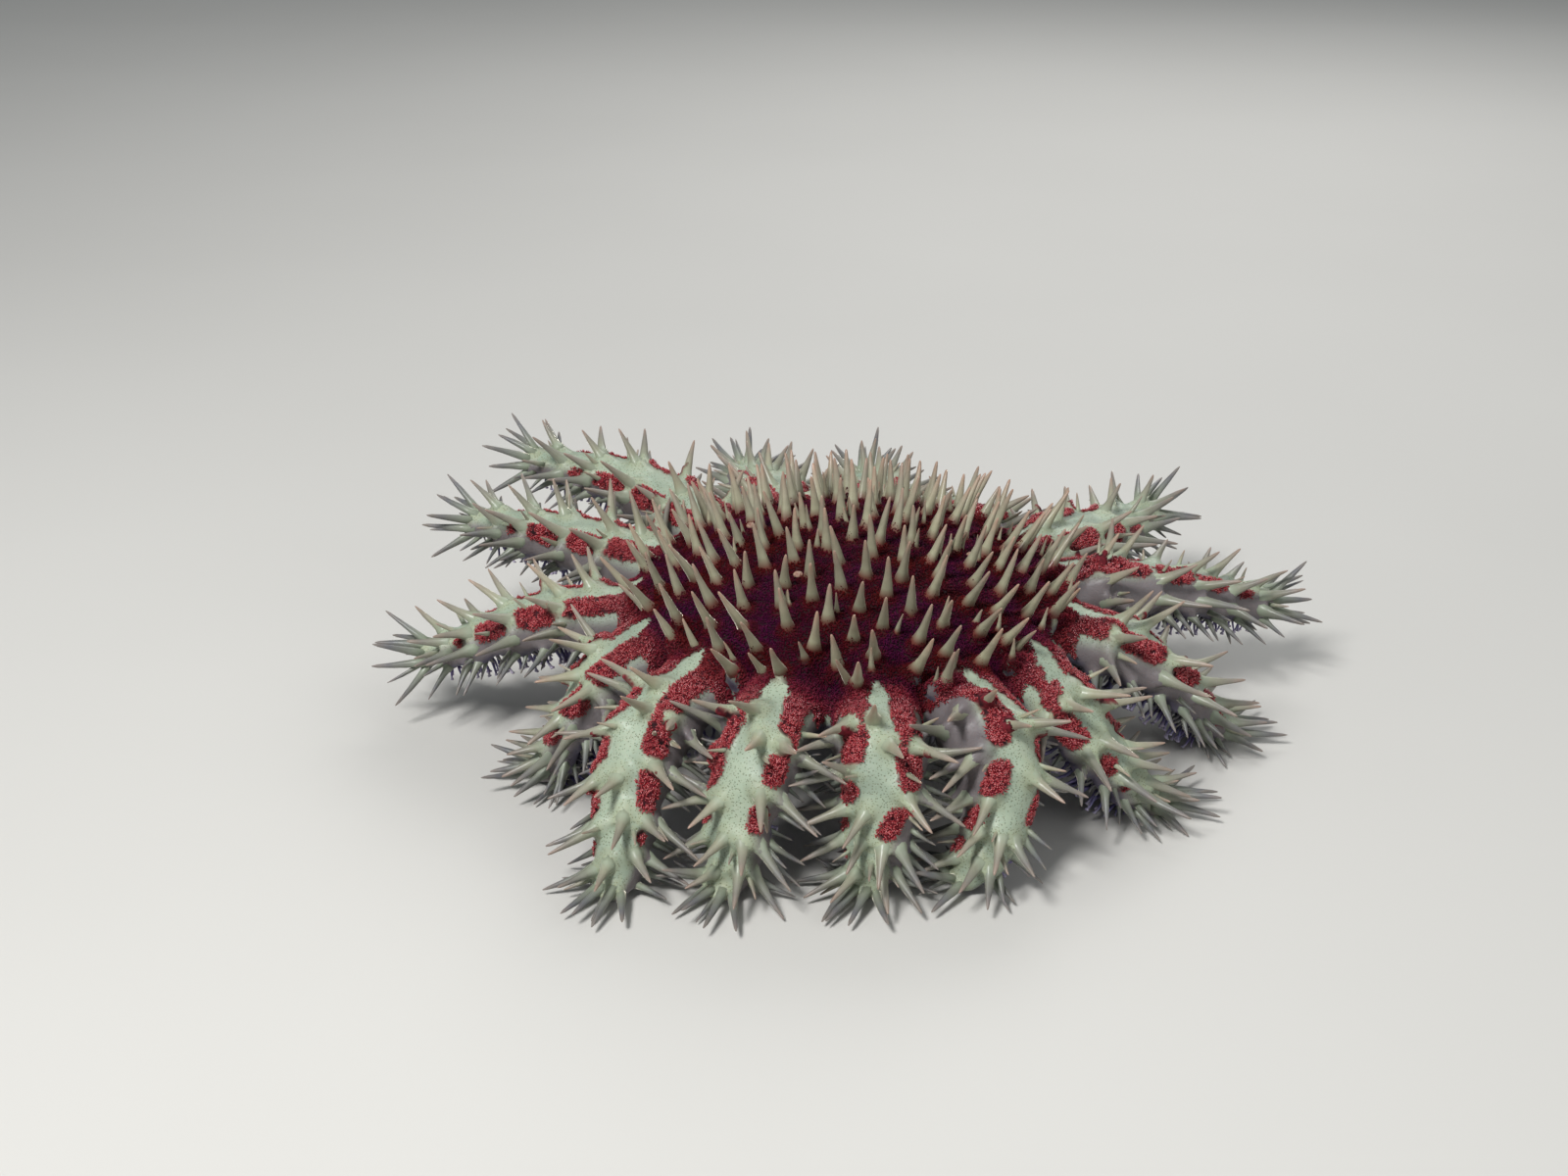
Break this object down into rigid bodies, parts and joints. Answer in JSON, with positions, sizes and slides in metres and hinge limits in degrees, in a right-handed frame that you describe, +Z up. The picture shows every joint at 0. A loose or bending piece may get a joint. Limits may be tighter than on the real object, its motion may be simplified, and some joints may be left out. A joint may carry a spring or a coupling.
{
  "type": "crown-of-thorns starfish",
  "caption": "Still, life-size crown-of-thorns starfish: domed spiny disc humped over the floor, many tapering arms draped down or held out, each with rows of thorn-like spines.",
  "frame": {"origin": "on the floor, under the middle of the animal's bounding box", "axes": "+Z up from the floor; -Y towards the side the picture sees; +X towards the picture's right"},
  "size_m": [0.3365, 0.2944, 0.0938],
  "materials": {
    "skin": "soft wet skin, dark crimson, with pale spines",
    "arm": "soft wet skin, pale grey-green with crimson patches",
    "mouth": "soft wet skin, pale violet",
    "spines": "rough limy spines under thin skin, cream to grey",
    "papulae": "tufts of soft crimson gills",
    "tube_feet": "soft translucent feet, pale violet"
  },
  "bodies": {
    "root": {"disc": "skin", "mouth": "mouth", "arm_01_root": "arm", "arm_01_tip": "arm", "arm_02_root": "arm", "arm_02_tip": "arm", "arm_03_root": "arm", "arm_03_tip": "arm", "arm_04_root": "arm", "arm_04_tip": "arm", "arm_05_root": "arm", "arm_05_tip": "arm", "arm_06_root": "arm", "arm_06_tip": "arm", "arm_07_root": "arm", "arm_07_tip": "arm", "arm_08_root": "arm", "arm_08_tip": "arm", "arm_09_root": "arm", "arm_09_tip": "arm", "arm_10_root": "arm", "arm_10_tip": "arm", "arm_11_root": "arm", "arm_11_tip": "arm", "arm_12_root": "arm", "arm_12_tip": "arm", "arm_13_root": "arm", "arm_13_tip": "arm", "arm_14_root": "arm", "arm_14_tip": "arm", "arm_15_root": "arm", "arm_15_tip": "arm"}
  },
  "joints": []
}
